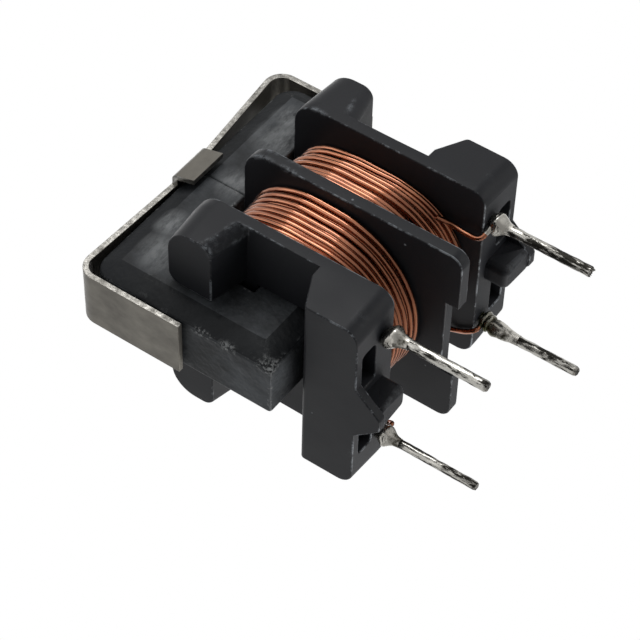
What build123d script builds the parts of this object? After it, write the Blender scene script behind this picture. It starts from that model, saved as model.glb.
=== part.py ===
from build123d import *
from math import pi, sin
import os

# Common-mode choke with a UU ferrite core, as it stands on a circuit board: millimetres,
# X along the winding axis, +Z away from the board, Z = 0 where the bobbin's standoffs touch it.
# The origin is the centre of the four-pin pattern on that plane.
os.makedirs("parts", exist_ok=True)

# --- driving dimensions ---
# terminal pins
pin_pitch_x = 13.0
pin_pitch_y = 10.0
pin_diameter = 0.7
pin_root_width = 0.64
pin_reach = 6.2
pin_embed = 3.4

# ferrite core: two U halves end to end
core_length = 23.0
core_depth = 15.3
core_thickness = 5.9
core_leg = 4.75
core_back = 4.6
core_bevel_face = 1.55
core_bevel_side = 0.8
core_corner = 1.6
core_base = 7.55
moulding_clearance = 0.1

# bobbin
flange_half_height = 8.15
flange_top = 17.9
flange_thickness = 0.95
flange_corner = 2.0
middle_thickness = 1.0
middle_corner = 1.0
window_width = 4.9
tube_wall = 0.75
tube_corner = 0.8
seat_height = 2.0
notch_half_width = 3.4
notch_floor = 1.0

# pin blocks and their standoff feet
block_outer = 9.65
block_end_half_height = 7.85
block_side_top = 6.25
block_inner_top = 7.4
block_slope_run = 2.45
shoulder_round = 0.4
block_end_round = 1.2
tongue_thickness = 0.7
tongue_half_width = 2.4
tongue_end_half_width = 0.55
tongue_end_round = 0.35
boss_inner = 6.2
boss_half_width = 1.0
boss_gap = 0.2
boss_corner = 0.6
pocket_inner = 7.4
pocket_near_foot = 1.6
pocket_near_pin = 5.1
pocket_top = 3.0
pocket_corner = 0.4

# lugs that hold the core's ends
lug_outer = 9.5
lug_root_bottom = 13.3
lug_end_bottom = 14.0
lug_end_drop = 0.3
lug_lower_round = 0.9
lug_core_round = 0.9

# windings
wire_diameter = 0.5
turns_across = 9
winding_outer_height = 2.1
winding_inner_height = 3.15
winding_end_bulge = 0.45
winding_corner = 1.9
ridge_height = 0.13
lead_entry = (4.75, 4.6, 5.4)
lead_drop_x = 5.08
lead_level = 1.5
lead_bend = 0.3
solder_radius = 0.9
solder_neck = 0.5
solder_foot = 0.75
solder_widest = 0.5
solder_end = 0.7

# spring clip of sheet steel
clip_thickness = 0.45
clip_width = 4.65
clip_near_leg_end = 14.8
clip_near_leg_gap = 0.2
clip_near_corner_rise = 0.55
clip_far_leg_end = 15.8
clip_far_leg_gap = 0.4
clip_far_corner_rise = 1.2
clip_corner = 1.5
tab_width = 3.4
tab_reach = 1.95
tab_bend = 0.55

# --- places worked out from them ---
core_top = core_base + core_depth
tube_bottom = core_base - moulding_clearance
tube_top = core_base + core_leg + moulding_clearance
tube_half_opening = core_thickness / 2 + moulding_clearance
tube_centre = (tube_bottom + tube_top) / 2
tube_outer_half = tube_half_opening + tube_wall
tube_outer_height = tube_top - tube_bottom + 2 * tube_wall
flange_inner = middle_thickness / 2 + window_width
flange_outer = flange_inner + flange_thickness
tongue_inner = block_outer - tongue_thickness
pin_radius = pin_diameter / 2
wire_radius = wire_diameter / 2
pin_places = [(sx * pin_pitch_x / 2, sy * pin_pitch_y / 2) for sx in (-1, 1) for sy in (-1, 1)]


def save(builder, label):
    """Label a finished piece and write it as its own STEP file."""
    builder.part.label = label
    export_step(builder.part, f"parts/{label}.step")


def core_half(side):
    """One U half: the whole outer edge is bevelled, and the legs end flat at the joint."""
    with BuildPart() as half:
        with BuildSketch(Plane.XZ):
            with BuildLine():
                Polyline(
                    (0, core_base),
                    (side * core_length / 2, core_base),
                    (side * core_length / 2, core_top),
                    (0, core_top),
                    (0, core_top - core_leg),
                    (side * (core_length / 2 - core_back), core_top - core_leg),
                    (side * (core_length / 2 - core_back), core_base + core_leg),
                    (0, core_base + core_leg),
                    close=True,
                )
            make_face()
        extrude(amount=core_thickness / 2, both=True)
        outer_end = half.edges().filter_by(Axis.Y).group_by(Axis.X)[-1 if side > 0 else 0]
        fillet(outer_end.sort_by(Axis.Z)[-1], core_corner)
        for face_y in (-1, 1):
            face = half.faces().sort_by(Axis.Y)[-1 if face_y > 0 else 0]
            outside = [edge for edge in face.edges() if on_core_outline(edge)]
            chamfer(outside, core_bevel_face, core_bevel_side, reference=face)
    return half


def on_core_outline(edge):
    """True for an edge on the outside of the U, not around the window or at the joint."""
    middle = edge @ 0.5
    at_end = abs(middle.X) > core_length / 2 - core_corner
    at_side = middle.Z < core_base + core_corner or middle.Z > core_top - core_corner
    return at_end or at_side and abs(middle.X) > 1e-3


def flange_outline(bottom, lower_corner):
    """A flange seen along X: generous corners beside the core, smaller ones by the board."""
    with BuildSketch() as outline:
        with Locations((0, (bottom + flange_top) / 2)):
            Rectangle(2 * flange_half_height, flange_top - bottom)
        fillet(outline.vertices().group_by(Axis.Y)[-1], flange_corner)
        fillet(outline.vertices().group_by(Axis.Y)[0], lower_corner)
    return outline.sketch


def lug_outline(bottom, top_drop):
    """The lug's section on the +Y side of the core, drawn as the flange is."""
    inner = core_thickness / 2 + moulding_clearance
    width = flange_half_height - inner
    height = flange_top - top_drop - bottom
    with BuildSketch() as outline:
        with Locations((inner + width / 2, bottom + height / 2)):
            Rectangle(width, height)
        fillet(outline.vertices().group_by(Axis.Y)[-1].sort_by(Axis.X)[-1], flange_corner)
        fillet(outline.vertices().group_by(Axis.Y)[-1].sort_by(Axis.X)[0], lug_core_round)
        fillet(outline.vertices().group_by(Axis.Y)[0].sort_by(Axis.X)[-1], lug_lower_round)
    return outline.sketch


def make_lug():
    """One core-locating lug, drawn in the +X +Y quarter and tapering outward."""
    root = lug_outline(lug_root_bottom, 0)
    end = lug_outline(lug_end_bottom, lug_end_drop)
    with BuildPart() as lug:
        with BuildSketch(Plane.YZ.offset(flange_outer)):
            add(root)
        with BuildSketch(Plane.YZ.offset(lug_outer)):
            add(end)
        loft()
    return lug.part


def block_section(half_height, top):
    """The pin block seen along X, with its corners rounded at the seat by the board."""
    with BuildSketch() as section:
        with Locations((0, (seat_height + top) / 2)):
            Rectangle(2 * half_height, top - seat_height)
        fillet(section.vertices().group_by(Axis.Y)[0], block_end_round)
    return section.sketch


def make_foot():
    """A standoff: the block's outer wall runs down in a tongue, backed by a shorter boss."""
    with BuildPart() as foot:
        with BuildSketch(Plane.YZ.offset(tongue_inner)) as tongue:
            Polygon(
                (-tongue_half_width, seat_height),
                (-tongue_end_half_width, 0),
                (tongue_end_half_width, 0),
                (tongue_half_width, seat_height),
                align=None,
            )
            fillet(tongue.vertices().group_by(Axis.Y)[0], tongue_end_round)
        extrude(amount=tongue_thickness)
        with BuildSketch(Plane.XY.offset(boss_gap)) as boss:
            with Locations(((boss_inner + tongue_inner) / 2, 0)):
                Rectangle(tongue_inner - boss_inner, 2 * boss_half_width)
            fillet(boss.vertices().group_by(Axis.X)[0], boss_corner)
        extrude(amount=seat_height - boss_gap)
    return foot.part


def make_pin_block():
    """The +X pin block: drafted, with a sloped shoulder, a foot, and a pocket beside each pin."""
    draft_share = (block_outer - block_slope_run - flange_outer) / (block_outer - flange_outer)
    draft = flange_half_height - block_end_half_height
    shoulder_half_height = flange_half_height - draft * draft_share
    at_flange = block_section(flange_half_height, block_inner_top)
    at_shoulder = block_section(shoulder_half_height, block_inner_top)
    at_end = block_section(block_end_half_height, block_side_top)
    with BuildPart() as block:
        with BuildSketch(Plane.YZ.offset(flange_outer)):
            add(at_flange)
        with BuildSketch(Plane.YZ.offset(block_outer - block_slope_run)):
            add(at_shoulder)
        with BuildSketch(Plane.YZ.offset(block_outer)):
            add(at_end)
        loft(ruled=True)
        outer_face = block.faces().sort_by(Axis.X)[-1]
        fillet(outer_face.edges().filter_by(Axis.Y).sort_by(Axis.Z)[-1], shoulder_round)
        with BuildSketch(Plane.XY):
            pocket_x = (pocket_inner + tongue_inner) / 2
            pocket_y = (pocket_near_foot + pocket_near_pin) / 2
            with Locations((pocket_x, -pocket_y), (pocket_x, pocket_y)):
                RectangleRounded(
                    tongue_inner - pocket_inner,
                    pocket_near_pin - pocket_near_foot,
                    pocket_corner,
                )
        extrude(amount=pocket_top, mode=Mode.SUBTRACT)
        add(make_foot())
    return block.part


def make_bobbin():
    """One phenolic moulding: square tube, three flanges, four lugs and two pin blocks."""
    lug = make_lug()
    pin_block = make_pin_block()
    middle_outline = flange_outline(0, middle_corner)
    end_outline = flange_outline(seat_height, block_end_round)
    with BuildPart() as bobbin:
        with BuildSketch(Plane.YZ) as tube:
            with Locations((0, tube_centre)):
                RectangleRounded(2 * tube_outer_half, tube_outer_height, tube_corner)
        extrude(amount=flange_outer, both=True)
        with BuildSketch(Plane.YZ.offset(-middle_thickness / 2)):
            add(middle_outline)
            with Locations((0, notch_floor / 2)):
                Rectangle(2 * notch_half_width, notch_floor, mode=Mode.SUBTRACT)
        extrude(amount=middle_thickness)
        for side in (-1, 1):
            start = flange_inner if side > 0 else -flange_outer
            with BuildSketch(Plane.YZ.offset(start)):
                add(end_outline)
            extrude(amount=flange_thickness)
        add(lug)
        add(mirror(lug, about=Plane.XZ))
        add(mirror(lug, about=Plane.YZ))
        add(mirror(mirror(lug, about=Plane.YZ), about=Plane.XZ))
        add(pin_block)
        add(mirror(pin_block, about=Plane.YZ))
        with BuildSketch(Plane.YZ):
            with Locations((0, tube_centre)):
                Rectangle(2 * tube_half_opening, tube_top - tube_bottom)
        extrude(amount=block_outer, both=True, mode=Mode.SUBTRACT)
        with Locations(*[(x, y, seat_height) for x, y in pin_places]):
            Box(
                pin_root_width,
                pin_root_width,
                pin_embed,
                align=(Align.CENTER, Align.CENTER, Align.MIN),
                mode=Mode.SUBTRACT,
            )
    return bobbin


def build_up(turn):
    """Height of the winding over the tube at a turn, counted from the outer flange inward."""
    share = turn / turns_across
    rise = winding_inner_height - winding_outer_height
    return winding_outer_height + rise * sin(share * pi / 2)


def winding_section():
    """The coil's cross-section, X along the axis from the outer flange, Y up from the former."""
    pitch = window_width / turns_across
    with BuildSketch() as section:
        with BuildLine():
            for turn in range(turns_across):
                Polyline(
                    (turn * pitch, build_up(turn)),
                    ((turn + 0.5) * pitch, build_up(turn + 0.5) + ridge_height),
                    ((turn + 1) * pitch, build_up(turn + 1)),
                )
            Polyline(
                (window_width, build_up(turns_across)),
                (window_width, -winding_end_bulge),
                (0, -winding_end_bulge),
                (0, build_up(0)),
            )
        make_face()
    return section.sketch


def winding_body():
    """The -X wound coil: the section runs straight past the tube's sides and turns its corners."""
    section = winding_section()
    side_y = tube_outer_half
    end_z = tube_centre + tube_outer_height / 2 + winding_end_bulge
    corner_y = side_y - winding_corner
    corner_z = end_z - winding_corner
    beside_tube = Plane((-flange_inner, side_y, tube_centre), x_dir=(1, 0, 0), z_dir=(0, 0, 1))
    at_corner = Plane((-flange_inner, side_y, corner_z), x_dir=(1, 0, 0), z_dir=(0, 0, 1))
    above_tube = Plane((-flange_inner, 0, end_z), x_dir=(1, 0, 0), z_dir=(0, -1, 0))
    with BuildPart() as body:
        with BuildSketch(beside_tube):
            add(section)
        extrude(amount=corner_z - tube_centre)
        with BuildSketch(at_corner):
            add(section)
        revolve(axis=Axis((0, corner_y, corner_z), (1, 0, 0)), revolution_arc=90)
        with BuildSketch(above_tube):
            add(section)
        extrude(amount=-corner_y)
        mirror(about=Plane.XZ)
        mirror(about=Plane.XY.offset(tube_centre))
        with BuildSketch(Plane.YZ.offset(-flange_inner)):
            with Locations((0, tube_centre)):
                RectangleRounded(2 * tube_outer_half, tube_outer_height, tube_corner)
        extrude(amount=window_width, mode=Mode.SUBTRACT)
    return body.part


def lead(side_x, side_y):
    """A wire end: down out of the coil past the block's inner edge, then out to its pin."""
    entry_x, entry_y, entry_z = lead_entry
    pin_y = pin_pitch_y / 2
    wire_end = pin_pitch_x / 2 - solder_radius
    with BuildPart() as wire:
        with BuildLine() as route:
            Polyline(
                (side_x * entry_x, side_y * entry_y, entry_z),
                (side_x * lead_drop_x, side_y * pin_y, lead_level + lead_bend),
                (side_x * (lead_drop_x + lead_bend), side_y * pin_y, lead_level),
                (side_x * wire_end, side_y * pin_y, lead_level),
            )
        with BuildSketch(Plane(route.line @ 0, z_dir=route.line % 0)):
            Circle(wire_radius)
        sweep(transition=Transition.RIGHT)
    return wire.part


def make_winding(side_x, leads):
    """A coil with both of its wire ends."""
    coil = winding_body()
    with BuildPart() as winding:
        add(coil if side_x < 0 else mirror(coil, about=Plane.YZ))
        for wire in leads:
            add(wire)
    return winding


def make_pin(x, y):
    """A round tinned pin whose root, in the solder and the block, is pressed square."""
    with BuildPart(Plane((x, y, -pin_reach))) as pin:
        Cylinder(
            pin_radius,
            pin_reach + solder_end,
            align=(Align.CENTER, Align.CENTER, Align.MIN),
        )
        with Locations((0, 0, pin_reach + solder_end)):
            Box(
                pin_root_width,
                pin_root_width,
                seat_height + pin_embed - solder_end,
                align=(Align.CENTER, Align.CENTER, Align.MIN),
            )
    return pin


def make_solder(x, y):
    """The soldered wrap at a pin's root: full at the block, drawn out thin along the pin."""
    height = seat_height - solder_end
    with BuildPart() as joint:
        with BuildSketch(Plane((x, y, solder_end), x_dir=(1, 0, 0), z_dir=(0, -1, 0))):
            with BuildLine():
                Polyline(
                    (0, 0),
                    (solder_neck, 0),
                    (solder_radius, solder_widest),
                    (solder_foot, height),
                    (0, height),
                    close=True,
                )
            make_face()
        revolve(axis=Axis((x, y, 0), (0, 0, 1)))
        with Locations((x, y, solder_end)):
            Box(
                pin_root_width,
                pin_root_width,
                height,
                align=(Align.CENTER, Align.CENTER, Align.MIN),
                mode=Mode.SUBTRACT,
            )
    return joint


def make_clip():
    """A C of spring steel, its back bowed onto the core, with a hold-down tab on each edge.

    Its +X leg stands off a little further and its +X corner rises higher."""
    near_x = -core_length / 2 - clip_near_leg_gap - clip_thickness
    far_x = core_length / 2 + clip_far_leg_gap + clip_thickness
    outer_top = core_top + clip_thickness
    with BuildPart() as clip:
        with BuildSketch(Plane.XZ):
            with BuildLine() as band:
                FilletPolyline(
                    (near_x, clip_near_leg_end),
                    (near_x, outer_top + clip_near_corner_rise),
                    (0, outer_top),
                    (far_x, outer_top + clip_far_corner_rise),
                    (far_x, clip_far_leg_end),
                    radius=clip_corner,
                )
                offset(band.line, amount=-clip_thickness, side=Side.RIGHT)
            make_face()
        extrude(amount=clip_width / 2, both=True)
        with BuildSketch(Plane.YZ.offset(-tab_width / 2)):
            for side in (-1, 1):
                with BuildLine():
                    Polyline(
                        (side * (clip_width / 2), core_top),
                        (side * (clip_width / 2), outer_top),
                        (side * (core_thickness / 2 + clip_thickness), outer_top),
                        (side * (core_thickness / 2 + clip_thickness), outer_top - tab_reach),
                        (side * core_thickness / 2, outer_top - tab_reach),
                        (side * core_thickness / 2, core_top),
                        close=True,
                    )
                make_face()
        extrude(amount=tab_width)
        bends = clip.edges().filter_by(Axis.X).group_by(Axis.Z)[-1]
        fillet([edge for edge in bends if abs((edge @ 0.5).Y) > clip_width / 2 + 0.1], tab_bend)
    return clip


# --- the pieces ---
leads = [
    lead(1 if x > 0 else -1, 1 if y > 0 else -1)
    for x, y in pin_places
]

save(make_bobbin(), "bobbin")
save(core_half(-1), "core_half_near")
save(core_half(1), "core_half_far")
save(make_winding(-1, leads[:2]), "winding_near")
save(make_winding(1, leads[2:]), "winding_far")
save(make_clip(), "core_clip")
for number, (x, y) in enumerate(pin_places, start=1):
    save(make_pin(x, y), f"terminal_pin_{number}")
    save(make_solder(x, y), f"solder_joint_{number}")
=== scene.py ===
import math
import random

import bmesh
import bpy
from mathutils import Matrix, Vector, noise
from mathutils.geometry import interpolate_bezier


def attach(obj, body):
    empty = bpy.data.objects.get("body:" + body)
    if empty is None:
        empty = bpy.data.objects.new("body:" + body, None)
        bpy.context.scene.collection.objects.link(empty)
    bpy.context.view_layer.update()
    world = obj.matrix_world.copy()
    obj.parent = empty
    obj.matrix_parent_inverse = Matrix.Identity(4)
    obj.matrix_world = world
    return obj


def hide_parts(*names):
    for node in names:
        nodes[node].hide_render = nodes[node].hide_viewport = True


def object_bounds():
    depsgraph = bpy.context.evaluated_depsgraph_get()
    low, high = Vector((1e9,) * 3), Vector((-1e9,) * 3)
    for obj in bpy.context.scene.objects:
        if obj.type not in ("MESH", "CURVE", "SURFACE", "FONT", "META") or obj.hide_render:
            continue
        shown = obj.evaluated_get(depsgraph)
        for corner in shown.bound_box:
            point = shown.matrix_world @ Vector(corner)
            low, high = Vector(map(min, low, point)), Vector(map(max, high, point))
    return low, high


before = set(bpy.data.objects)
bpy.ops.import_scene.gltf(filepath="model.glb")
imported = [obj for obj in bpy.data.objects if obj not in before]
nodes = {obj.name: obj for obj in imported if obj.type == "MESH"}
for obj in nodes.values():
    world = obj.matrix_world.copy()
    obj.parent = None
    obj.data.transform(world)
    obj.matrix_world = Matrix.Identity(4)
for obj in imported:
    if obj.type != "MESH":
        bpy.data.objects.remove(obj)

cad_low, cad_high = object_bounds()
MM = 0.001


# --- The bench the part stands on ---
# A pale tabletop under the pin tips, seen from above only, with an open white surround.
# Wide soft lamps stand in for a light tent: one high on the upper side, one low at the front.
def hex_colour(code):
    """An sRGB hex colour as linear RGBA."""
    channels = [int(code[i : i + 2], 16) / 255 for i in (1, 3, 5)]
    linear = [c / 12.92 if c <= 0.04045 else ((c + 0.055) / 1.055) ** 2.4 for c in channels]
    return (*linear, 1.0)


def add_node(tree, kind, inputs=None, **settings):
    """Add a shader node with its settings, then fill its sockets with values or links."""
    node = tree.nodes.new(kind)
    for name, value in settings.items():
        setattr(node, name, value)
    for socket, value in (inputs or {}).items():
        if isinstance(value, bpy.types.NodeSocket):
            tree.links.new(value, node.inputs[socket])
        else:
            node.inputs[socket].default_value = value
    return node


def new_material(name):
    """An empty node material and its tree."""
    material = bpy.data.materials.new(name)
    material.use_nodes = True
    material.node_tree.nodes.clear()
    return material, material.node_tree


def maths(tree, operation, first, second):
    """The result of one operation on two values."""
    inputs = {0: first, 1: second}
    return add_node(tree, "ShaderNodeMath", inputs, operation=operation).outputs[0]


tabletop_reach = 160 * MM
tabletop, tree = new_material("matt_white_card")
card = add_node(
    tree, "ShaderNodeBsdfDiffuse", {"Color": hex_colour("#F4F4F2"), "Roughness": 0.6}
)
see_through = add_node(tree, "ShaderNodeBsdfTransparent")
geometry = add_node(tree, "ShaderNodeNewGeometry")
path = add_node(tree, "ShaderNodeLightPath")
open_side = maths(tree, "MAXIMUM", geometry.outputs["Backfacing"], path.outputs["Is Shadow Ray"])
one_sided = add_node(
    tree,
    "ShaderNodeMixShader",
    {0: open_side, 1: card.outputs[0], 2: see_through.outputs[0]},
)
add_node(tree, "ShaderNodeOutputMaterial", {"Surface": one_sided.outputs[0]})

bm = bmesh.new()
bmesh.ops.create_grid(bm, x_segments=1, y_segments=1, size=tabletop_reach)
bmesh.ops.translate(bm, vec=(0, 0, cad_low.z), verts=bm.verts)
floor_mesh = bpy.data.meshes.new("tabletop")
bm.to_mesh(floor_mesh)
bm.free()
floor_mesh.materials.append(tabletop)
floor = bpy.data.objects.new("tabletop", floor_mesh)
bpy.context.scene.collection.objects.link(floor)

ambient_strength = 0.18
world = bpy.data.worlds.new("light_tent")
bpy.context.scene.world = world
world.use_nodes = True
tree = world.node_tree
tree.nodes.clear()
path = add_node(tree, "ShaderNodeLightPath")
seen = maths(tree, "MAXIMUM", path.outputs["Is Camera Ray"], path.outputs["Is Transmission Ray"])
seen_or_mirrored = maths(tree, "MAXIMUM", seen, path.outputs["Is Glossy Ray"])
tent = add_node(
    tree,
    "ShaderNodeBackground",
    {"Color": hex_colour("#F2F4F8"), "Strength": ambient_strength},
)
white = add_node(tree, "ShaderNodeBackground", {"Color": hex_colour("#FFFFFF"), "Strength": 1.0})
tent_or_white = add_node(
    tree,
    "ShaderNodeMixShader",
    {0: seen_or_mirrored, 1: tent.outputs[0], 2: white.outputs[0]},
)
add_node(tree, "ShaderNodeOutputWorld", {"Surface": tent_or_white.outputs[0]})

centre = (Vector(cad_low) + Vector(cad_high)) / 2


def soft_lamp(name, direction, distance, size, watts):
    """A square area lamp facing the middle of the part."""
    lamp = bpy.data.lights.new(name, "AREA")
    lamp.shape = "SQUARE"
    lamp.size = size
    lamp.energy = watts
    holder = bpy.data.objects.new(name, lamp)
    towards = Vector(direction).normalized()
    holder.location = centre + towards * distance
    holder.rotation_euler = towards.to_track_quat("Z", "Y").to_euler()
    bpy.context.scene.collection.objects.link(holder)


soft_lamp("upper_softbox", (0.22, -0.91, 0.36), 170 * MM, 95 * MM, 0.15)
soft_lamp("front_softbox", (-0.62, -0.45, 0.62), 190 * MM, 150 * MM, 0.07)
soft_lamp("bounce_panel", (-0.04, 0.75, -0.66), 190 * MM, 160 * MM, 0.55)
soft_lamp("under_softbox", (0.50, -0.38, -0.78), 180 * MM, 150 * MM, 0.25)
soft_lamp("far_softbox", (0.60, 0.65, 0.60), 200 * MM, 150 * MM, 0.10)

# Camera: below the seating plane on the near upper side, rolled as the part was laid.
camera_data = bpy.data.cameras.new("camera")
camera_data.lens = 140.625
camera_data.sensor_width = 36
camera_data.shift_x = 0.014063
camera_data.shift_y = 0.094044
camera_data.clip_start = 5 * MM
camera = bpy.data.objects.new("camera", camera_data)
right = Vector((0.581366, -0.018120, -0.813440))
up = Vector((0.617505, -0.641173, 0.455614))
back = right.cross(up)
turn = Matrix((right, up, back)).transposed().to_4x4()
camera.matrix_world = Matrix.Translation(Vector((-97.978, -128.872, -54.706)) * MM) @ turn
bpy.context.scene.collection.objects.link(camera)
bpy.context.scene.camera = camera


# --- Bobbin ---
# One piece moulded from black phenolic: square tube, three flanges, four lugs, two pin blocks.
# The mould leaves every arris slightly rounded; handling has left pale scuffs along them.
bobbin_arris = 0.1 * MM
arris_angle = math.radians(32)
doubles_reach = 0.002 * MM
flat_angle = math.radians(0.6)


def merged_copy(node):
    """A CAD node's mesh as a bmesh, with its doubles merged and its flat faces whole again."""
    bm = bmesh.new()
    bm.from_mesh(nodes[node].data)
    bmesh.ops.remove_doubles(bm, verts=bm.verts, dist=doubles_reach)
    bmesh.ops.dissolve_limit(
        bm, angle_limit=flat_angle, verts=bm.verts, edges=bm.edges, delimit={"NORMAL"}
    )
    return bm


def sharp_edges(bm, angle=arris_angle):
    """The outside edges that turn by more than the angle."""
    return [e for e in bm.edges if e.is_convex and e.calc_face_angle(0) > angle]


def round_edges(bm, edges, width, segments, wear=1.0):
    """Bevel the edges to a round profile, and mark how far the faces this makes are worn."""
    worn = bm.faces.layers.float.get("worn") or bm.faces.layers.float.new("worn")
    made = bmesh.ops.bevel(
        bm,
        geom=edges,
        offset=width,
        offset_type="OFFSET",
        segments=segments,
        profile=0.5,
        affect="EDGES",
        material=-1,
        clamp_overlap=False,
    )
    for face in made["faces"]:
        face[worn] = wear


def finished_piece(name, bm, material, slot, *replaced, smooth=math.radians(35)):
    """Make the bmesh an object that rides on the root body and stands for CAD nodes."""
    mesh = bpy.data.meshes.new(name)
    bm.to_mesh(mesh)
    bm.free()
    mesh.shade_smooth()
    mesh.set_sharp_from_angle(angle=smooth)
    mesh.materials.append(material)
    piece = bpy.data.objects.new(name, mesh)
    bpy.context.scene.collection.objects.link(piece)
    even_shading = piece.modifiers.new("even_shading", "WEIGHTED_NORMAL")
    even_shading.keep_sharp = True
    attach(piece, "root")
    if replaced:
        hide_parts(*replaced)
    return piece


def remapped(tree, value, source=(0.0, 1.0), target=(0.0, 1.0)):
    """A value carried from the source range to the target range, and held at its ends."""
    inputs = {
        "Value": value,
        "From Min": source[0],
        "From Max": source[1],
        "To Min": target[0],
        "To Max": target[1],
    }
    return add_node(tree, "ShaderNodeMapRange", inputs).outputs[0]


def noise_pattern(tree, place, size, detail, roughness=0.5):
    """Smooth noise from 0 to 1, with features of about the size in millimetres."""
    inputs = {"Vector": place, "Scale": 1000 / size, "Detail": detail, "Roughness": roughness}
    return add_node(tree, "ShaderNodeTexNoise", inputs).outputs[0]


def mixed_colour(tree, factor, first, second):
    """The first colour where the factor is 0, and the second where it is 1."""
    inputs = {"Factor": factor, "A": first, "B": second}
    return add_node(tree, "ShaderNodeMix", inputs, data_type="RGBA").outputs["Result"]


def bump(tree, height, distance, strength, onto=None):
    """A surface normal with relief from a height pattern, on top of another where given."""
    inputs = {"Height": height, "Distance": distance, "Strength": strength}
    if onto is not None:
        inputs["Normal"] = onto
    return add_node(tree, "ShaderNodeBump", inputs).outputs[0]


def edge_band(tree, reach, open_face, at_edge):
    """1 along edges and 0 on open faces, from how far rounding by the reach turns the normal."""
    geometry = add_node(tree, "ShaderNodeNewGeometry")
    rounded = add_node(tree, "ShaderNodeBevel", {"Radius": reach}, samples=6)
    kept = add_node(
        tree,
        "ShaderNodeVectorMath",
        {0: rounded.outputs[0], 1: geometry.outputs["Normal"]},
        operation="DOT_PRODUCT",
    )
    return remapped(tree, kept.outputs["Value"], source=(open_face, at_edge))


def give_surface(tree, inputs):
    """Finish a material with a principled surface that has these inputs."""
    surface = add_node(tree, "ShaderNodeBsdfPrincipled", inputs)
    add_node(tree, "ShaderNodeOutputMaterial", {"Surface": surface.outputs[0]})


spot_core = 0.3


def spot_mask(tree, place, spots):
    """1 at the middle of any spot (x, y, z and radius in millimetres), 0 beyond its rim."""
    mask = None
    for x, y, z, radius in spots:
        distance = add_node(
            tree,
            "ShaderNodeVectorMath",
            {0: place.outputs["Object"], 1: (x * MM, y * MM, z * MM)},
            operation="DISTANCE",
        )
        rim_to_core = (radius * MM, spot_core * radius * MM)
        near = remapped(tree, distance.outputs["Value"], source=rim_to_core)
        mask = near if mask is None else maths(tree, "MAXIMUM", mask, near)
    return mask


# Phenolic: a dull sheen with a fine mould texture, grey where it is scuffed.
# Knocks have left pale patches on the lugs, the flanges' corners and the blocks.
knocks = [
    (-8.9, -8.1, 14.2, 1.1),
    (-7.2, -8.1, 13.5, 1.2),
    (-7.3, -8.1, 16.3, 0.8),
    (0.0, -8.0, 16.7, 1.5),
    (-0.3, -8.1, 14.2, 1.0),
    (-8.3, -8.0, 2.9, 0.9),
    (-9.6, 3.0, 4.2, 0.7),
    (-9.6, 4.3, 2.8, 0.8),
    (7.2, -8.1, 3.1, 0.6),
    (7.1, -8.0, 14.8, 1.0),
    (6.0, -8.1, 15.9, 1.0),
]
phenolic, tree = new_material("moulded_black_phenolic")
place = add_node(tree, "ShaderNodeTexCoord")
arris = add_node(tree, "ShaderNodeAttribute", attribute_name="worn", attribute_type="GEOMETRY")
scuffs = noise_pattern(tree, place.outputs["Object"], size=2.4, detail=9.0, roughness=0.8)
scuff_ramp = remapped(tree, scuffs, source=(0.50, 0.58))
knock_edge = edge_band(tree, 0.5 * MM, open_face=0.9995, at_edge=0.985)
knocked = maths(tree, "MULTIPLY", spot_mask(tree, place, knocks), knock_edge)
fine_scratch = noise_pattern(tree, place.outputs["Object"], size=0.4, detail=6.0, roughness=0.75)
fine_ramp = remapped(tree, fine_scratch, source=(0.46, 0.56))
knock_scuff = maths(tree, "MULTIPLY", knocked, fine_ramp)
worn_arris = maths(tree, "MULTIPLY", arris.outputs["Fac"], scuff_ramp)
speck_spacing = 2.6
specks = add_node(
    tree,
    "ShaderNodeTexVoronoi",
    {"Vector": place.outputs["Object"], "Scale": 1000 / speck_spacing},
)
speck_mask = remapped(tree, specks.outputs["Distance"], source=(0.045, 0.025))
worn_or_speck = maths(tree, "MAXIMUM", worn_arris, speck_mask)
all_scuffs = maths(tree, "MAXIMUM", worn_or_speck, knock_scuff)
body_colour = mixed_colour(tree, all_scuffs, hex_colour("#16171A"), hex_colour("#64686C"))
sheen_patch = noise_pattern(tree, place.outputs["Object"], size=4.0, detail=3.0)
roughness = remapped(tree, sheen_patch, target=(0.36, 0.56))
grain = noise_pattern(tree, place.outputs["Object"], size=0.16, detail=2.0)
relief = bump(tree, grain, distance=0.012 * MM, strength=0.5)
give_surface(
    tree,
    {
        "Base Color": body_colour,
        "Roughness": roughness,
        "Normal": relief,
        "IOR": 1.5,
        "Specular IOR Level": 0.15,
    },
)

boss_end = 0.2 * MM
boss_round = 0.5 * MM
boss_outer = 8.9 * MM
level_reach = 0.01 * MM
lug_foot_low = 13.1 * MM
# Edges stay square where a lug's round foot runs out into the flange, and round the core's
# window. Each zone is two corners in millimetres, mirrored to every side.
square_zones = [((0, 7.0, 13.0), (6.4, 8.2, 14.6)), ((0, 0, 7.2), (6.4, 3.3, 12.7))]


def left_square(edge):
    """True for an edge wholly inside one of the zones whose edges aren't rounded."""
    for low, high in square_zones:
        inside = [
            all(small <= abs(value) / MM <= large for small, value, large in zip(low, v.co, high))
            for v in edge.verts
        ]
        if all(inside):
            return True
    return False


bm = merged_copy("bobbin")
boss_edges = [
    e
    for e in bm.edges
    if all(abs(v.co.z - boss_end) < level_reach for v in e.verts)
    and min(abs(v.co.x) for v in e.verts) < boss_outer
]
round_edges(bm, boss_edges, boss_round, segments=5, wear=0.15)
# A cut at the lug's foot ends the edges that stay square there.
whole = [*bm.verts, *bm.edges, *bm.faces]
bmesh.ops.bisect_plane(bm, geom=whole, plane_co=(0, 0, lug_foot_low), plane_no=(0, 0, 1))
bm.normal_update()
arrises = [e for e in sharp_edges(bm) if not left_square(e)]
round_edges(bm, arrises, bobbin_arris, segments=2)
finished_piece("bobbin_moulding", bm, phenolic, "bobbin", "bobbin")


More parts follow.
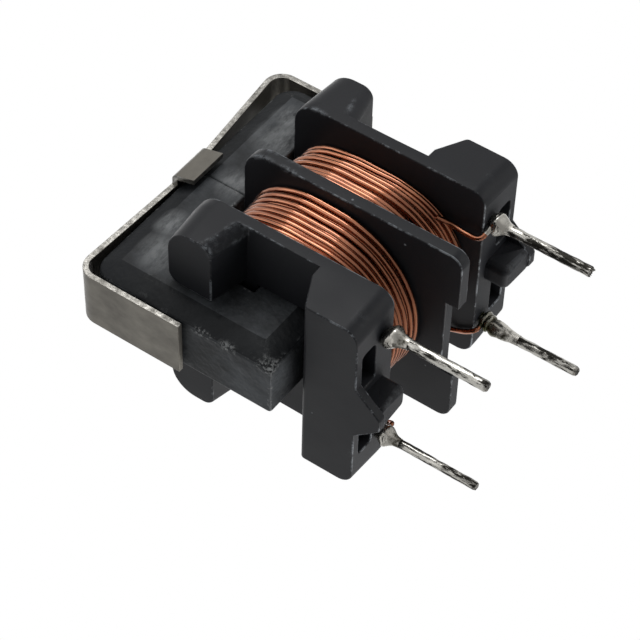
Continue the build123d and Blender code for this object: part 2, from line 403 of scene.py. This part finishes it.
# --- Ferrite core ---
# Two U halves pressed from ferrite powder and sintered, pushed together inside the tube.
# The ceramic is dry and dark grey, and its arrises chip to a lighter broken grain.
core_arris = 0.18 * MM
square_on = 0.98
flat_in_y = 0.1

# Spots where the ridges are badly chipped, where painted shade darkens the face next to the clip's
# back, and where the face is rubbed pale.
chipped_ridge = [
    (-11.5, -2.2, 8.2, 0.9),
    (-10.8, -2.9, 9.3, 0.7),
    (-10.6, -2.9, 17.9, 0.6),
    (-10.6, -2.9, 16.5, 0.6),
    (-11.1, -2.5, 8.0, 1.3),
    (-10.1, -2.9, 9.6, 1.2),
    (-10.0, -2.8, 7.2, 1.0),
    (-10.2, -2.8, 18.4, 1.3),
    (-10.2, -2.8, 16.7, 1.1),
    (-11.5, -2.0, 13.4, 0.8),
    (-11.5, -2.0, 11.2, 0.9),
]
clip_shade_spots = [
    (-10.2, -2.95, 21.3, 2.2),
    (-8.2, -2.95, 21.6, 1.8),
    (-6.2, -2.95, 21.8, 1.6),
    (-4.2, -2.95, 21.8, 1.5),
]
rubbed_face = [
    (0.4, -2.95, 19.2, 1.9),
    (5.9, -2.95, 19.5, 2.4),
    (8.0, -2.95, 20.2, 1.6),
    (-7.8, -2.95, 19.4, 2.2),
    (-5.2, -2.95, 20.6, 1.6),
]


def ferrite_material(name, dark, light, sheen):
    """Sintered ferrite: two tones, a pressed grain, ridges broken to a pale grain, and painted
    shade where the face meets the clip's back.
    """
    material, tree = new_material(name)
    place = add_node(tree, "ShaderNodeTexCoord")
    ridge = edge_band(tree, 0.4 * MM, open_face=0.999, at_edge=0.96)
    chips = noise_pattern(tree, place.outputs["Object"], size=0.8, detail=6.0, roughness=0.65)
    wide_ridge = edge_band(tree, 0.75 * MM, open_face=0.9995, at_edge=0.985)
    chip_ramp = remapped(tree, chips, source=(0.54, 0.60))
    bad_chip_ramp = remapped(tree, chips, source=(0.44, 0.50))
    along_edges = maths(tree, "MULTIPLY", ridge, chip_ramp)
    bad_ridge = maths(tree, "MULTIPLY", spot_mask(tree, place, chipped_ridge), wide_ridge)
    badly = maths(tree, "MULTIPLY", bad_ridge, bad_chip_ramp)
    broken = maths(tree, "MAXIMUM", along_edges, badly)
    pits = noise_pattern(tree, place.outputs["Object"], size=0.22, detail=3.0)
    pit_ramp = remapped(tree, pits, source=(0.42, 0.58))
    broken_colour = mixed_colour(tree, pit_ramp, hex_colour("#1A1B1C"), hex_colour("#8E9090"))
    smear = noise_pattern(tree, place.outputs["Object"], size=3.2, detail=6.0, roughness=0.6)
    smear_ramp = remapped(tree, smear, source=(0.38, 0.66))
    tone = mixed_colour(tree, smear_ramp, hex_colour(dark), hex_colour(light))
    combed = add_node(
        tree,
        "ShaderNodeMapping",
        {"Vector": place.outputs["Object"], "Scale": (0.35, 1.0, 1.0)},
    )
    streaks = noise_pattern(tree, combed.outputs[0], size=0.9, detail=6.0, roughness=0.7)
    streak_ramp = remapped(tree, streaks, source=(0.36, 0.60))
    rub = maths(tree, "MULTIPLY", spot_mask(tree, place, rubbed_face), streak_ramp)
    # Painted shade: the face is darkened in spots where it meets the clip's back.
    shaded_by_clip = mixed_colour(tree, spot_mask(tree, place, clip_shade_spots), tone, hex_colour("#0F1114"))
    rubbed = mixed_colour(tree, rub, shaded_by_clip, hex_colour("#6A6C6D"))
    colour = mixed_colour(tree, broken, rubbed, broken_colour)
    grain = noise_pattern(tree, place.outputs["Object"], size=0.3, detail=4.0, roughness=0.7)
    pressed_relief = bump(tree, grain, distance=0.04 * MM, strength=0.7)
    swells = noise_pattern(tree, place.outputs["Object"], size=2.4, detail=3.0)
    uneven_relief = bump(tree, swells, distance=0.35 * MM, strength=0.8, onto=pressed_relief)
    broken_relief = bump(tree, chips, distance=0.3 * MM, strength=broken, onto=uneven_relief)
    give_surface(
        tree,
        {
            "Base Color": colour,
            "Roughness": 0.58,
            "Normal": broken_relief,
            "IOR": 1.5,
            "Specular IOR Level": sheen,
        },
    )
    return material


# Painted shade: the bevels beside the ±Y faces get a darker, less glossy copy of the ferrite,
# standing in for the little light that falls on them.
plain_ferrite = ferrite_material("plain_ferrite", "#17191B", "#3A3D40", 0.22)
shaded_bevel_ferrite = ferrite_material("ferrite_bevel_painted_shade", "#0B0D0F", "#191B1D", 0.13)

for half in ("core_half_near", "core_half_far"):
    bm = merged_copy(half)
    bm.normal_update()
    # Square faces and faces across Y keep the plain ferrite; the bevels turning toward ±Y take the
    # painted-shade copy.
    for face in bm.faces:
        is_square = max(abs(axis) for axis in face.normal) > square_on
        face.material_index = 0 if is_square or abs(face.normal.y) < flat_in_y else 1
    round_edges(bm, sharp_edges(bm), core_arris, segments=3)
    core = finished_piece(half.replace("half", "ferrite"), bm, plain_ferrite, "ferrite", half)
    core.data.materials.append(shaded_bevel_ferrite)


# --- Spring clip ---
# A C bent from rolled spring strip, sprung over both core ends and bowed onto the core's back.
# The rolled faces are satin and warm grey; the sheared edges are bright and slightly torn.
clip_arris = 0.05 * MM
roughness_range = 0.12


def steel_material(name, dark, light, roughness, marks, depth):
    """Bare steel: two tones and a relief from one noise, finer across the strip."""
    material, tree = new_material(name)
    place = add_node(tree, "ShaderNodeTexCoord")
    finer_across = add_node(
        tree,
        "ShaderNodeMapping",
        {"Vector": place.outputs["Object"], "Scale": (1.0, 1.6, 1.0)},
    )
    mottle = noise_pattern(tree, finer_across.outputs[0], size=marks, detail=6.0, roughness=0.65)
    spread = remapped(tree, mottle, source=(0.32, 0.68))
    tone = mixed_colour(tree, spread, hex_colour(dark), hex_colour(light))
    gloss = remapped(tree, spread, target=(roughness + roughness_range, roughness))
    relief = bump(tree, mottle, distance=depth * MM, strength=0.6)
    give_surface(
        tree,
        {
            "Base Color": tone,
            "Metallic": 1.0,
            "Roughness": gloss,
            "Normal": relief,
        },
    )
    return material


rolled = steel_material(
    "rolled_spring_steel", "#585550", "#69665F", roughness=0.38, marks=2.4, depth=0.015
)
sheared = steel_material(
    "sheared_spring_steel", "#4F4D49", "#96948F", roughness=0.28, marks=0.5, depth=0.08
)
band_reach = 2.6 * MM
tab_root_x = 1.7 * MM
tab_limit_x = tab_root_x * 1.01
tab_bend_z = 22.8 * MM
tab_spring = 0.28
facing = 0.7


def is_sheared(face):
    """True for a face on the strip's cut sides, or on a tab's cut sides or end."""
    normal, middle = face.normal, face.calc_center_median()
    if abs(middle.y) < band_reach:
        return abs(normal.y) > facing
    return abs(normal.x) > facing or normal.z < -facing


bm = merged_copy("core_clip")
for x in (-tab_root_x, tab_root_x):
    whole = [*bm.verts, *bm.edges, *bm.faces]
    bmesh.ops.bisect_plane(bm, geom=whole, plane_co=(x, 0, 0), plane_no=(1, 0, 0))
# The tab on the -Y side is sprung a little off the core.
for v in bm.verts:
    below_bend = tab_bend_z - v.co.z
    if abs(v.co.x) < tab_limit_x and v.co.y < -band_reach and below_bend > 0:
        v.co.y -= below_bend * tab_spring
bm.normal_update()
for face in bm.faces:
    face.material_index = 1 if is_sheared(face) else 0
tab_edges = [e for e in bm.edges if all(abs(v.co.x) < tab_limit_x for v in e.verts)]
tab_root_edges = {e for e in tab_edges if all(abs(v.co.y) < band_reach for v in e.verts)}
arrises = [e for e in sharp_edges(bm) if e not in tab_root_edges]
round_edges(bm, arrises, clip_arris, segments=2)
clip = finished_piece("spring_clip", bm, rolled, "spring_steel", "core_clip")
clip.data.materials.append(sheared)


# --- Windings ---
# Enamelled copper wire wound round the tube, layer on layer between the flanges.
# The outer layers are uneven: turns touch, part and ride over each other, and pull in round.
wire_diameter = 0.43 * MM
wire_radius = wire_diameter / 2
window_near_middle = 0.5 * MM + wire_radius
window_near_end = 5.4 * MM - wire_radius
coil_middle_z = 9.925 * MM
knots_per_turn = 16
strand_ends_at = 0.9 * math.pi
top_turns = 10
layer_drop = 0.34 * MM
inner_drop = layer_drop * 1.9
inner_segments = 48
# A turn that rides over its neighbours drifts further and stands higher than one laid true.
# These are in millimetres, apart from the share of turns.
riding_share = 0.45
riding_drift = 0.6
riding_lift = 0.2
laid_drift = 0.11
laid_lift = (-0.06, 0.05)
wander = 0.02
# The coil's outline round the axis, as half sizes beside the middle flange and beside the end
# flange: toward -Y and +Y, toward +Z, and toward the board. Squareness 2 is an ellipse.
half_depth = (7.2, 5.85)
half_top = (7.2, 7.45)
half_foot = (7.05, 6.75)
top_squareness = (2.9, 3.2)
foot_squareness = (2.0, 2.3)
depth_taper = 1.5

copper, tree = new_material("enamelled_copper_wire")
place = add_node(tree, "ShaderNodeTexCoord")
tarnish = noise_pattern(tree, place.outputs["Object"], size=1.6, detail=3.0)
copper_colour = mixed_colour(tree, tarnish, hex_colour("#7A3F24"), hex_colour("#A86A46"))
give_surface(
    tree,
    {
        "Base Color": copper_colour,
        "Metallic": 1.0,
        "Roughness": 0.2,
        "Coat Weight": 1.0,
        "Coat Roughness": 0.1,
    },
)


def between(pair, share):
    """The value a share of the way from the first of a pair to the second."""
    return pair[0] + (pair[1] - pair[0]) * share


def coil_point(side, share, angle, drop):
    """A point on the coil: share is 0 by the middle flange and 1 by the end flange."""
    upward = math.sin(angle) > 0
    depth = between(half_depth, share**depth_taper)
    height = between(half_top if upward else half_foot, share)
    power = between(top_squareness if upward else foot_squareness, share)
    across = abs(math.cos(angle)) / depth
    along = abs(math.sin(angle)) / height
    reach = (across**power + along**power) ** (-1 / power) * MM - wire_radius - drop
    x = side * between((window_near_middle, window_near_end), share)
    return Vector((x, -reach * math.cos(angle), coil_middle_z + reach * math.sin(angle)))


def finished_wire(name, points, radius, material):
    """Make a round wire through smooth knots, as an object that rides on the root body."""
    curve = bpy.data.curves.new(name, "CURVE")
    curve.dimensions = "3D"
    curve.bevel_depth = radius
    curve.bevel_resolution = 3
    curve.use_fill_caps = True
    spline = curve.splines.new("BEZIER")
    spline.bezier_points.add(len(points) - 1)
    spline.resolution_u = 4
    for knot, point in zip(spline.bezier_points, points):
        knot.co = point
        knot.handle_left_type = knot.handle_right_type = "AUTO"
    curve.materials.append(material)
    wire = bpy.data.objects.new(name, curve)
    bpy.context.scene.collection.objects.link(wire)
    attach(wire, "root")


def smooth_run(points, steps):
    """More knots along a smooth path through the given points."""
    ends = [points[0], *points, points[-1]]
    run = []
    for before, start, end, after in zip(ends, ends[1:], ends[2:], ends[3:]):
        leave, arrive = start + (end - before) / 6, end - (after - start) / 6
        run += interpolate_bezier(start, leave, arrive, end, steps)[:-1]
    return [*run, points[-1]]


def wound_wire(side, seed):
    """One continuous wire: a layer out to the end flange, then the top layer back."""
    rng = random.Random(seed)
    points = []
    for layer, turns, drop in ((0, top_turns - 1, layer_drop), (1, top_turns, 0.0)):
        knots = turns * knots_per_turn
        drift = next_drift = lift = next_lift = 0.0
        for knot in range(knots):
            step = knot % knots_per_turn
            if step == 0:
                drift, lift = next_drift, next_lift
                rides_over = rng.random() < riding_share
                next_drift = rng.uniform(-1, 1) * (riding_drift if rides_over else laid_drift) * MM
                next_lift = (riding_lift if rides_over else rng.uniform(*laid_lift)) * MM
            blend = step / knots_per_turn
            share = knot / knots if layer == 0 else 1 - knot / knots
            angle = (math.tau * blend + strand_ends_at) % math.tau
            point = coil_point(side, share, angle, drop - between((lift, next_lift), blend))
            x = abs(point.x) + between((drift, next_drift), blend)
            x += rng.uniform(-wander, wander) * MM
            point.x = side * min(max(x, window_near_middle), window_near_end)
            points.append(point)
    return points


for name, side, seed in (("winding_near", -1, 3), ("winding_far", 1, 8)):
    # A plain body stands for the layers below, and the two outer layers are one strand.
    bm = bmesh.new()
    bmesh.ops.create_circle(bm, segments=inner_segments, radius=1.0)
    ring = bmesh.ops.extrude_edge_only(bm, edges=bm.edges)
    outer_ring = [v for v in ring["geom"] if isinstance(v, bmesh.types.BMVert)]
    for v in bm.verts:
        by_flange = 1.0 if v in outer_ring else 0.0
        angle = math.atan2(v.co.y, v.co.x) % math.tau
        v.co = coil_point(side, by_flange, angle, inner_drop)
    bmesh.ops.holes_fill(bm, edges=bm.edges)
    bmesh.ops.recalc_face_normals(bm, faces=bm.faces)
    finished_piece(name + "_inner_layers", bm, copper, "copper", name)
    finished_wire(name + "_turns", wound_wire(side, seed), wire_radius, copper)


# --- Terminal pins ---
# Straight tinned wire pins pressed into the blocks; near-black streaks along them are painted
# reflection, and the ends are cropped.
# Two stand nearly true, and two are bent off their holes' centre lines below the block.
# All of these are in millimetres, apart from the narrowing of the tip and the column's sides.
pin_places = {1: (-6.5, -5.0), 2: (-6.5, 5.0), 3: (6.5, -5.0), 4: (6.5, 5.0)}
pin_radius = {1: 0.39, 2: 0.32, 3: 0.39, 4: 0.38}
pin_lean = {1: -0.5, 2: 0.0, 3: 0.05, 4: 0.42}
crop_tear = {1: 0.03, 2: 0.06, 3: 0.32, 4: 0.04}
pin_top = 5.3
pin_tip = -6.1
seat_level = 2.0
bend_length = 1.2
tin_thickness = 0.035
tip_draw = 0.82
tip_band = 0.01
column_sides = 24
tin_noise = (1.4, 1.6)

tinned, tree = new_material("tinned_pin")
place = add_node(tree, "ShaderNodeTexCoord")
drawn_out = add_node(
    tree, "ShaderNodeMapping", {"Vector": place.outputs["Object"], "Scale": (1.0, 1.0, 0.22)}
)
# The pale tone is the tin's own; the near-black streaks along the pin are painted reflection, the
# dark bands that bright tin mirrors.
streaks = noise_pattern(tree, drawn_out.outputs[0], size=0.42, detail=4.0, roughness=0.7)
dark_reflection_streaks = remapped(tree, streaks, source=(0.45, 0.53))
tin_and_painted_reflection = mixed_colour(tree, dark_reflection_streaks, hex_colour("#AAA8A2"), hex_colour("#242320"))
tin_roughness = remapped(tree, dark_reflection_streaks, target=(0.22, 0.5))
tin_relief = bump(tree, streaks, distance=0.08 * MM, strength=0.5)
give_surface(
    tree,
    {
        "Base Color": tin_and_painted_reflection,
        "Metallic": 1.0,
        "Roughness": tin_roughness,
        "Normal": tin_relief,
    },
)


def pin_axis(number, z):
    """The pin's centre at a height in millimetres: upright in the block, offset below it."""
    x, y = pin_places[number]
    out = min(max((seat_level - z) / bend_length, 0.0), 1.0)
    return Vector((x, y + pin_lean[number] * out * out * (3 - 2 * out), z)) * MM


def column(number, top, bottom, rings, radius_at):
    """A round column down the pin's axis, with a radius worked out for each of its vertices."""
    bm = bmesh.new()
    bmesh.ops.create_cone(
        bm, cap_ends=True, segments=column_sides, radius1=1, radius2=1, depth=top - bottom
    )
    lengthwise = [e for e in bm.edges if abs((e.verts[0].co - e.verts[1].co).z) > 0.1]
    bmesh.ops.subdivide_edges(bm, edges=lengthwise, cuts=rings)
    for v in bm.verts:
        z = v.co.z + (top + bottom) / 2
        around = Vector((v.co.x, v.co.y, 0))
        v.co = pin_axis(number, z) + around * radius_at(number, around, z) * MM
    return bm


def unevenness(around, z, scales, seed):
    """Noise over a column's surface, with its own scale round the column and along it."""
    return noise.noise(around * scales[0] + Vector((0, 0, z * scales[1])) + seed)


def tinned_radius(number, around, z):
    """The pin's radius: drawn wire with thin uneven tin, narrower at the cropped tip."""
    seed = Vector((number * 3.1, 0, 0))
    tin = unevenness(around, z, tin_noise, seed) * tin_thickness
    drawn_in = tip_draw if z < pin_tip + tip_band else 1.0
    return (pin_radius[number] + tin) * drawn_in


for number in pin_places:
    rng = random.Random(number)
    bm = column(number, pin_top, pin_tip, rings=60, radius_at=tinned_radius)
    for v in bm.verts:
        if v.co.z < (pin_tip + tip_band) * MM:
            v.co.z += rng.uniform(0, 1) * crop_tear[number] * MM
    finished_piece(
        f"pin_{number}", bm, tinned, "tinned_pin", f"terminal_pin_{number}", smooth=math.radians(50)
    )


# --- Wire ends and solder ---
# Each coil's two ends run down past the block's inner edge and are wound round their pins.
# The pins were then dipped in solder, which left lumps, drawn-out tails and flux stains.
lead_radius = 0.19 * MM
wrap_bite = 0.9
wrap_turns = 1.6
knots_per_wrap = 8
wrap_top = 1.7
wrap_bottom = 1.15
# By pin, in millimetres: the solder's fullest radius, that place's height over the board, and
# how far it runs down the pin.
solder_full = {
    1: (0.86, 1.45, 1.1),
    2: (0.72, 1.35, 0.9),
    3: (0.80, 1.4, 0.8),
    4: (0.68, 0.75, 1.5),
}
solder_top = seat_level + 0.1
solder_crown = 0.8
solder_fall = 2.2
solder_lumps = 0.55
solder_film = 0.02
tail_length = 1.3
lump_noise = (1.1, 1.3)
burnt_spots = [(5.9, 5.4, 1.5, 1.5), (6.5, 4.4, 2.0, 0.9), (6.9, -4.7, 1.2, 0.35)]

solder, tree = new_material("dipped_solder")
place = add_node(tree, "ShaderNodeTexCoord")
lumps = noise_pattern(tree, place.outputs["Object"], size=0.8, detail=4.0, roughness=0.6)
flux_mask = remapped(tree, lumps, source=(0.50, 0.66))
solder_colour = mixed_colour(tree, flux_mask, hex_colour("#B9B6AF"), hex_colour("#45433A"))
burnt_flux = spot_mask(tree, place, burnt_spots)
fluxed_colour = mixed_colour(tree, burnt_flux, solder_colour, hex_colour("#45452F"))
solder_roughness = remapped(tree, flux_mask, target=(0.24, 0.55))
solder_relief = bump(tree, lumps, distance=0.1 * MM, strength=0.4)
give_surface(
    tree,
    {
        "Base Color": fluxed_colour,
        "Metallic": 1.0,
        "Roughness": solder_roughness,
        "Normal": solder_relief,
    },
)

# Where each wire end runs, in millimetres, for the pins beside -Y and beside +Y. Those beside
# +Y start about 1 mm clear of the coil. The solder covers the wire from just past the run.
upper_run = [(4.6, -4.9, 5.3), (5.12, -4.3, 4.3), (5.12, -4.15, 3.1), (5.12, -4.4, 2.0)]
lower_run = [(4.6, 6.0, 4.9), (5.12, 6.1, 3.5), (5.12, 5.6, 2.4), (5.3, 5.1, 1.7)]
span_knots = 8
knots_past_run = 3


def solder_radius(number, around, z):
    """The solder's radius: full at one level, round above it, drawn out along the pin."""
    full, full_level, run_down = solder_full[number]
    seed = Vector((0, number * 5.3, 0))
    away = (z - full_level) / (solder_crown if z > full_level else run_down)
    swell = math.exp(-solder_fall * away * away)
    lump = unevenness(around, z, lump_noise, seed)
    thin = pin_radius[number] + solder_film
    return thin + (full - thin) * swell * (1 + solder_lumps * lump)


for number, (pin_x, pin_y) in pin_places.items():
    side = 1 if pin_x > 0 else -1
    run = upper_run if pin_y < 0 else lower_run
    points = [Vector((side * x, y, z)) * MM for x, y, z in run]
    wrap_radius = pin_radius[number] * MM + lead_radius * wrap_bite
    steps = round(wrap_turns * knots_per_wrap)
    for step in range(steps + 1):
        z = wrap_top + (wrap_bottom - wrap_top) * step / steps
        angle = math.pi + step / knots_per_wrap * math.tau
        ring = Vector((side * math.cos(angle), math.sin(angle), 0)) * wrap_radius
        points.append(pin_axis(number, z) + ring)
    points = smooth_run(points, span_knots)
    bare = (len(run) - 1) * (span_knots - 1) + knots_past_run
    finished_wire(f"lead_{number}", points[: bare + 1], lead_radius, copper)
    finished_wire(f"wrap_{number}", points[bare:], lead_radius, solder)

    _, full_level, run_down = solder_full[number]
    tail_end = full_level - tail_length * run_down
    bm = column(number, solder_top, tail_end, rings=26, radius_at=solder_radius)
    finished_piece(f"solder_{number}", bm, solder, "solder", f"solder_joint_{number}")

scene = bpy.context.scene
scene.view_settings.view_transform = "Standard"
